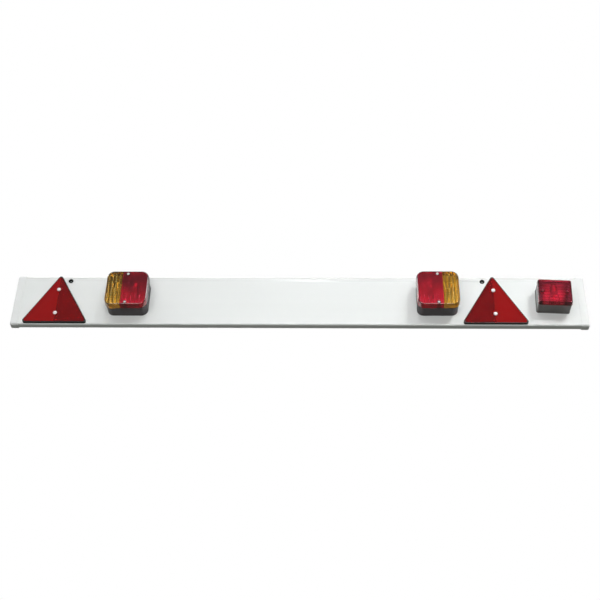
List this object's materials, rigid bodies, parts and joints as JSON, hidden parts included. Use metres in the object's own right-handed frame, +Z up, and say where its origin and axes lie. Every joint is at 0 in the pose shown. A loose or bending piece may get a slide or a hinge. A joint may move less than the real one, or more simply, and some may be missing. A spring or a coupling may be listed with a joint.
{
  "type": "trailer lighting board",
  "caption": "Long white channel board with triangle reflectors, red and amber rear lamps and a fog lamp, tied across the back of a trailer to repeat the car's lights.",
  "frame": {"origin": "midway between the two tie holes, on the board's front face", "axes": "+X along the board to the right of someone who faces the lamps, +Y through the board away from the lamps, +Z up"},
  "size_m": [1.372, 0.0709, 0.1428],
  "materials": {
    "board_white": "gloss white extruded plastic",
    "cap_white": "gloss white moulded plastic",
    "rubber_black": "black moulded rubber",
    "tray_black": "satin black moulded plastic",
    "prism_red": "red prismatic reflector plastic",
    "zinc_steel": "bright zinc plated steel",
    "housing_grey": "dark grey moulded plastic",
    "liner_bright": "bright pressed lining",
    "lens_red": "clear red moulded plastic",
    "lens_amber": "clear amber moulded plastic",
    "bulb_glass": "clear bulb glass",
    "bulb_metal": "nickel plated brass",
    "holder_steel": "plated sheet steel",
    "contact_brass": "spring brass",
    "cable_black": "black cable sheath",
    "clip_grey": "grey stick-on clip plastic"
  },
  "bodies": {
    "root": {"board": "board_white", "cable_clips": "clip_grey", "end_cap_left": "cap_white", "end_cap_right": "cap_white", "flange_nuts": "zinc_steel", "fog_base": "housing_grey", "fog_bolt": "zinc_steel", "fog_cable": "cable_black", "fog_cap": "bulb_metal", "fog_contact": "contact_brass", "fog_glass": "bulb_glass", "fog_grommet": "rubber_black", "fog_holder": "holder_steel", "fog_lens": "lens_red", "fog_nut": "zinc_steel", "fog_reflector": "liner_bright", "fog_seal": "rubber_black", "indicator_cap_left": "bulb_metal", "indicator_cap_right": "bulb_metal", "indicator_contact_left": "contact_brass", "indicator_contact_right": "contact_brass", "indicator_glass_left": "bulb_glass", "indicator_glass_right": "bulb_glass", "indicator_holder_left": "holder_steel", "indicator_holder_right": "holder_steel", "lamp_base_left": "housing_grey", "lamp_base_right": "housing_grey", "lamp_bolts": "zinc_steel", "lamp_grommet_left": "rubber_black", "lamp_grommet_right": "rubber_black", "lamp_reflector_left": "liner_bright", "lamp_reflector_right": "liner_bright", "lamp_seal_left": "rubber_black", "lamp_seal_right": "rubber_black", "lens_amber_left": "lens_amber", "lens_amber_right": "lens_amber", "lens_red_left": "lens_red", "lens_red_right": "lens_red", "lens_screws": "zinc_steel", "link_cable": "cable_black", "stop_cap_left": "bulb_metal", "stop_cap_right": "bulb_metal", "stop_contact_left": "contact_brass", "stop_contact_right": "contact_brass", "stop_glass_left": "bulb_glass", "stop_glass_right": "bulb_glass", "stop_holder_left": "holder_steel", "stop_holder_right": "holder_steel", "tie_grommet_left": "rubber_black", "tie_grommet_right": "rubber_black", "triangle_prism_left": "prism_red", "triangle_prism_right": "prism_red", "triangle_screws": "zinc_steel", "triangle_tray_left": "tray_black", "triangle_tray_right": "tray_black"}
  },
  "joints": []
}
